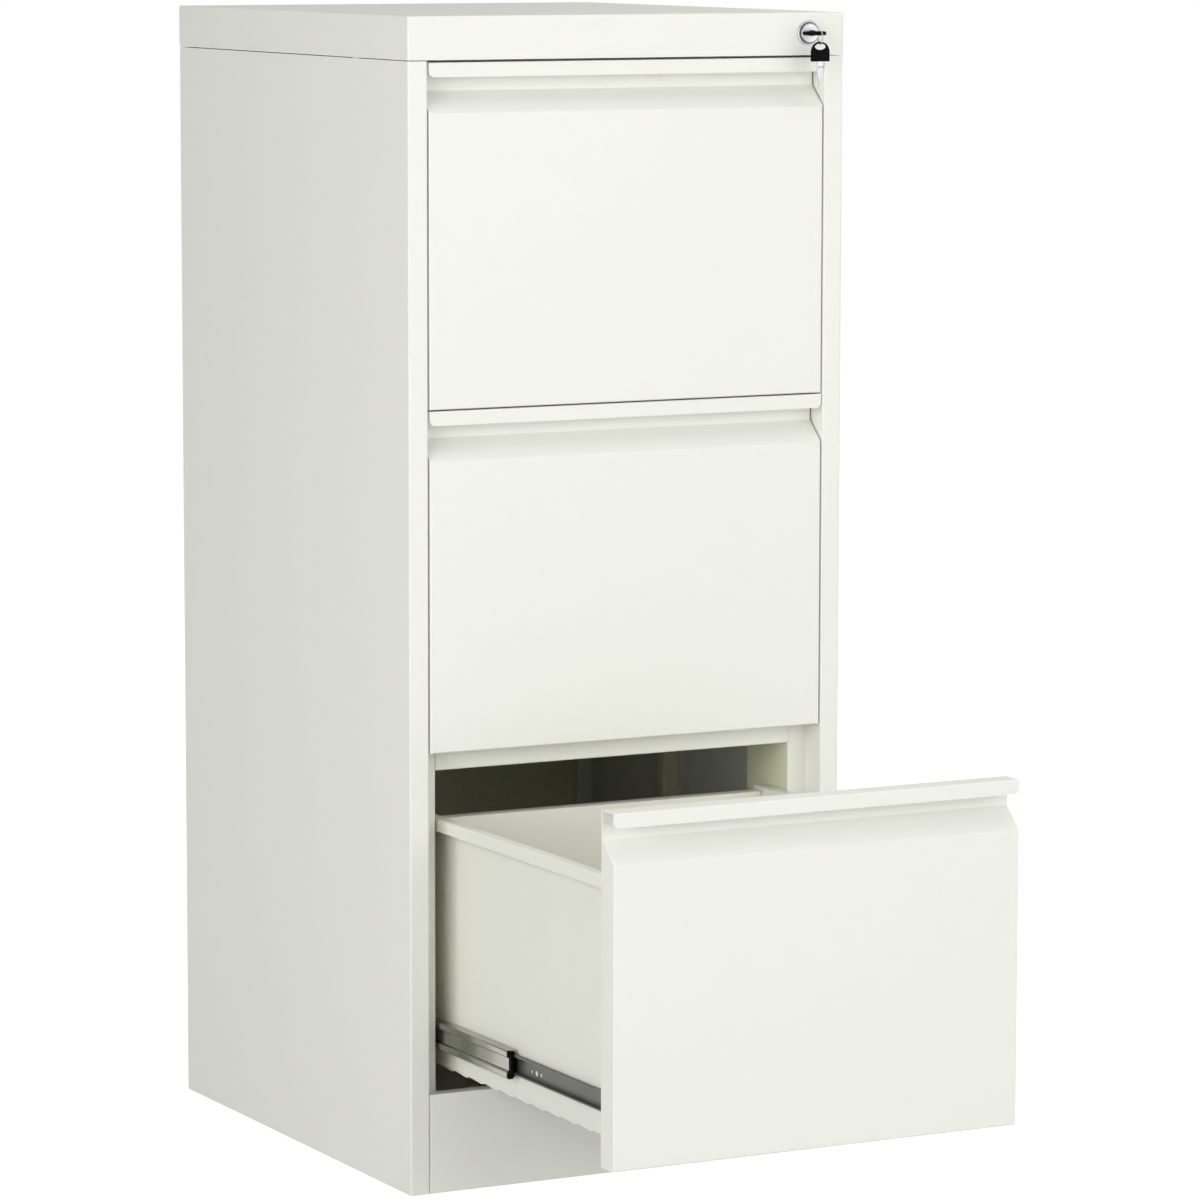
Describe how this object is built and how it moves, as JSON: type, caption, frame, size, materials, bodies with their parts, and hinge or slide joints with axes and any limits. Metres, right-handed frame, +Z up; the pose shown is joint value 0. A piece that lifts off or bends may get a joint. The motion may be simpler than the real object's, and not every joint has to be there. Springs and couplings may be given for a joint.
{
  "type": "filing cabinet",
  "caption": "Upright sheet-steel filing cabinet with stacked full-width drawers on ball-bearing slides, finger-recess fronts and a keyed lock in the top band; lowest drawer open.",
  "frame": {"origin": "middle of the base on the floor", "axes": "+Z up, +X to the right seen from the front, front faces -Y"},
  "size_m": [0.43, 0.836, 1.03],
  "materials": {
    "front_paint": "satin fine-textured powder coat, off-white",
    "body_paint": "satin fine-textured powder coat, off-white",
    "tray_paint": "satin powder coat, off-white",
    "slide_steel": "cold-rolled, zinc-plated",
    "cage_steel": "bright",
    "zinc": "zinc-plated",
    "lock_chrome": "polished",
    "key_steel": "nickel-plated",
    "black_plastic": "moulded",
    "white_plastic": "moulded"
  },
  "bodies": {
    "cabinet": {"back_panel": "body_paint", "base_pan": "body_paint", "bottom_slide_outers": "slide_steel", "cabinet_rivets": "zinc", "cross_rails": "body_paint", "foot_plates": "zinc", "left_front_upright": "body_paint", "left_side_panel": "body_paint", "levelling_feet": "black_plastic", "lock_bar_guides": "white_plastic", "lock_barrel": "lock_chrome", "lock_nut": "zinc", "middle_slide_outers": "slide_steel", "plinth_panel": "body_paint", "rear_uprights": "body_paint", "right_front_upright": "body_paint", "right_side_panel": "body_paint", "slide_brackets": "zinc", "top_cover": "body_paint", "top_slide_outers": "slide_steel"},
    "lock_plug": {"lock_plug": "lock_chrome", "lock_cam": "zinc", "cam_screw": "zinc", "key_blade": "key_steel", "key_head": "black_plastic"},
    "lock_bar": {"lock_bar": "zinc", "lock_bar_tabs": "zinc"},
    "bottom_drawer": {"bottom_drawer_front": "front_paint", "bottom_drawer_liner": "front_paint", "bottom_drawer_tray": "tray_paint", "bottom_drawer_back": "tray_paint", "bottom_drawer_catch": "zinc", "bottom_drawer_rivets": "zinc", "bottom_slide_inners": "slide_steel"},
    "bottom_middle_members": {"bottom_slide_middles": "slide_steel", "bottom_slide_bumpers": "black_plastic"},
    "bottom_outer_cages": {"bottom_outer_ball_cages": "cage_steel"},
    "bottom_inner_cages": {"bottom_inner_ball_cages": "cage_steel"},
    "middle_drawer": {"middle_drawer_front": "front_paint", "middle_drawer_liner": "front_paint", "middle_drawer_tray": "tray_paint", "middle_drawer_back": "tray_paint", "middle_drawer_catch": "zinc", "middle_drawer_rivets": "zinc", "middle_slide_inners": "slide_steel"},
    "middle_middle_members": {"middle_slide_middles": "slide_steel", "middle_slide_bumpers": "black_plastic"},
    "middle_outer_cages": {"middle_outer_ball_cages": "cage_steel"},
    "middle_inner_cages": {"middle_inner_ball_cages": "cage_steel"},
    "top_drawer": {"top_drawer_front": "front_paint", "top_drawer_liner": "front_paint", "top_drawer_tray": "tray_paint", "top_drawer_back": "tray_paint", "top_drawer_catch": "zinc", "top_drawer_rivets": "zinc", "top_slide_inners": "slide_steel"},
    "top_middle_members": {"top_slide_middles": "slide_steel", "top_slide_bumpers": "black_plastic"},
    "top_outer_cages": {"top_outer_ball_cages": "cage_steel"},
    "top_inner_cages": {"top_inner_ball_cages": "cage_steel"}
  },
  "joints": [
    {"name": "bottom_drawer_slide", "type": "slide", "parent": "cabinet", "child": "bottom_drawer", "axis": [0, -1, 0], "range_m": [-0.3423, 0.0077]},
    {"name": "bottom_outer_cages_slide", "type": "slide", "parent": "cabinet", "child": "bottom_outer_cages", "axis": [0, -1, 0], "range_m": [-0.08557, 0.00193]},
    {"name": "bottom_middle_members_slide", "type": "slide", "parent": "cabinet", "child": "bottom_middle_members", "axis": [0, -1, 0], "range_m": [-0.17115, 0.00385]},
    {"name": "bottom_inner_cages_slide", "type": "slide", "parent": "cabinet", "child": "bottom_inner_cages", "axis": [0, -1, 0], "range_m": [-0.25672, 0.00577]},
    {"name": "middle_drawer_slide", "type": "slide", "parent": "cabinet", "child": "middle_drawer", "axis": [0, -1, 0], "range_m": [0, 0.35]},
    {"name": "middle_outer_cages_slide", "type": "slide", "parent": "cabinet", "child": "middle_outer_cages", "axis": [0, -1, 0], "range_m": [0, 0.0875]},
    {"name": "middle_middle_members_slide", "type": "slide", "parent": "cabinet", "child": "middle_middle_members", "axis": [0, -1, 0], "range_m": [0, 0.175]},
    {"name": "middle_inner_cages_slide", "type": "slide", "parent": "cabinet", "child": "middle_inner_cages", "axis": [0, -1, 0], "range_m": [0, 0.2625]},
    {"name": "top_drawer_slide", "type": "slide", "parent": "cabinet", "child": "top_drawer", "axis": [0, -1, 0], "range_m": [0, 0.35]},
    {"name": "top_outer_cages_slide", "type": "slide", "parent": "cabinet", "child": "top_outer_cages", "axis": [0, -1, 0], "range_m": [0, 0.0875]},
    {"name": "top_middle_members_slide", "type": "slide", "parent": "cabinet", "child": "top_middle_members", "axis": [0, -1, 0], "range_m": [0, 0.175]},
    {"name": "top_inner_cages_slide", "type": "slide", "parent": "cabinet", "child": "top_inner_cages", "axis": [0, -1, 0], "range_m": [0, 0.2625]},
    {"name": "lock_bar_lift", "type": "slide", "parent": "cabinet", "child": "lock_bar", "axis": [0, 0, 1], "range_m": [0, 0.01131]},
    {"name": "lock_turn", "type": "hinge", "parent": "cabinet", "child": "lock_plug", "pos_m": [0.1788, -0.247, 1.0119], "axis": [0, -1, 0], "range_deg": [0, 90]}
  ],
  "couplings": [
    {"joint": "bottom_outer_cages_slide", "follows": "bottom_drawer_slide", "ratio": 0.25},
    {"joint": "bottom_middle_members_slide", "follows": "bottom_drawer_slide", "ratio": 0.5},
    {"joint": "bottom_inner_cages_slide", "follows": "bottom_drawer_slide", "ratio": 0.75},
    {"joint": "middle_outer_cages_slide", "follows": "middle_drawer_slide", "ratio": 0.25},
    {"joint": "middle_middle_members_slide", "follows": "middle_drawer_slide", "ratio": 0.5},
    {"joint": "middle_inner_cages_slide", "follows": "middle_drawer_slide", "ratio": 0.75},
    {"joint": "top_outer_cages_slide", "follows": "top_drawer_slide", "ratio": 0.25},
    {"joint": "top_middle_members_slide", "follows": "top_drawer_slide", "ratio": 0.5},
    {"joint": "top_inner_cages_slide", "follows": "top_drawer_slide", "ratio": 0.75},
    {"joint": "lock_turn", "follows": "lock_bar_lift", "rad_per_m": 138.84}
  ]
}
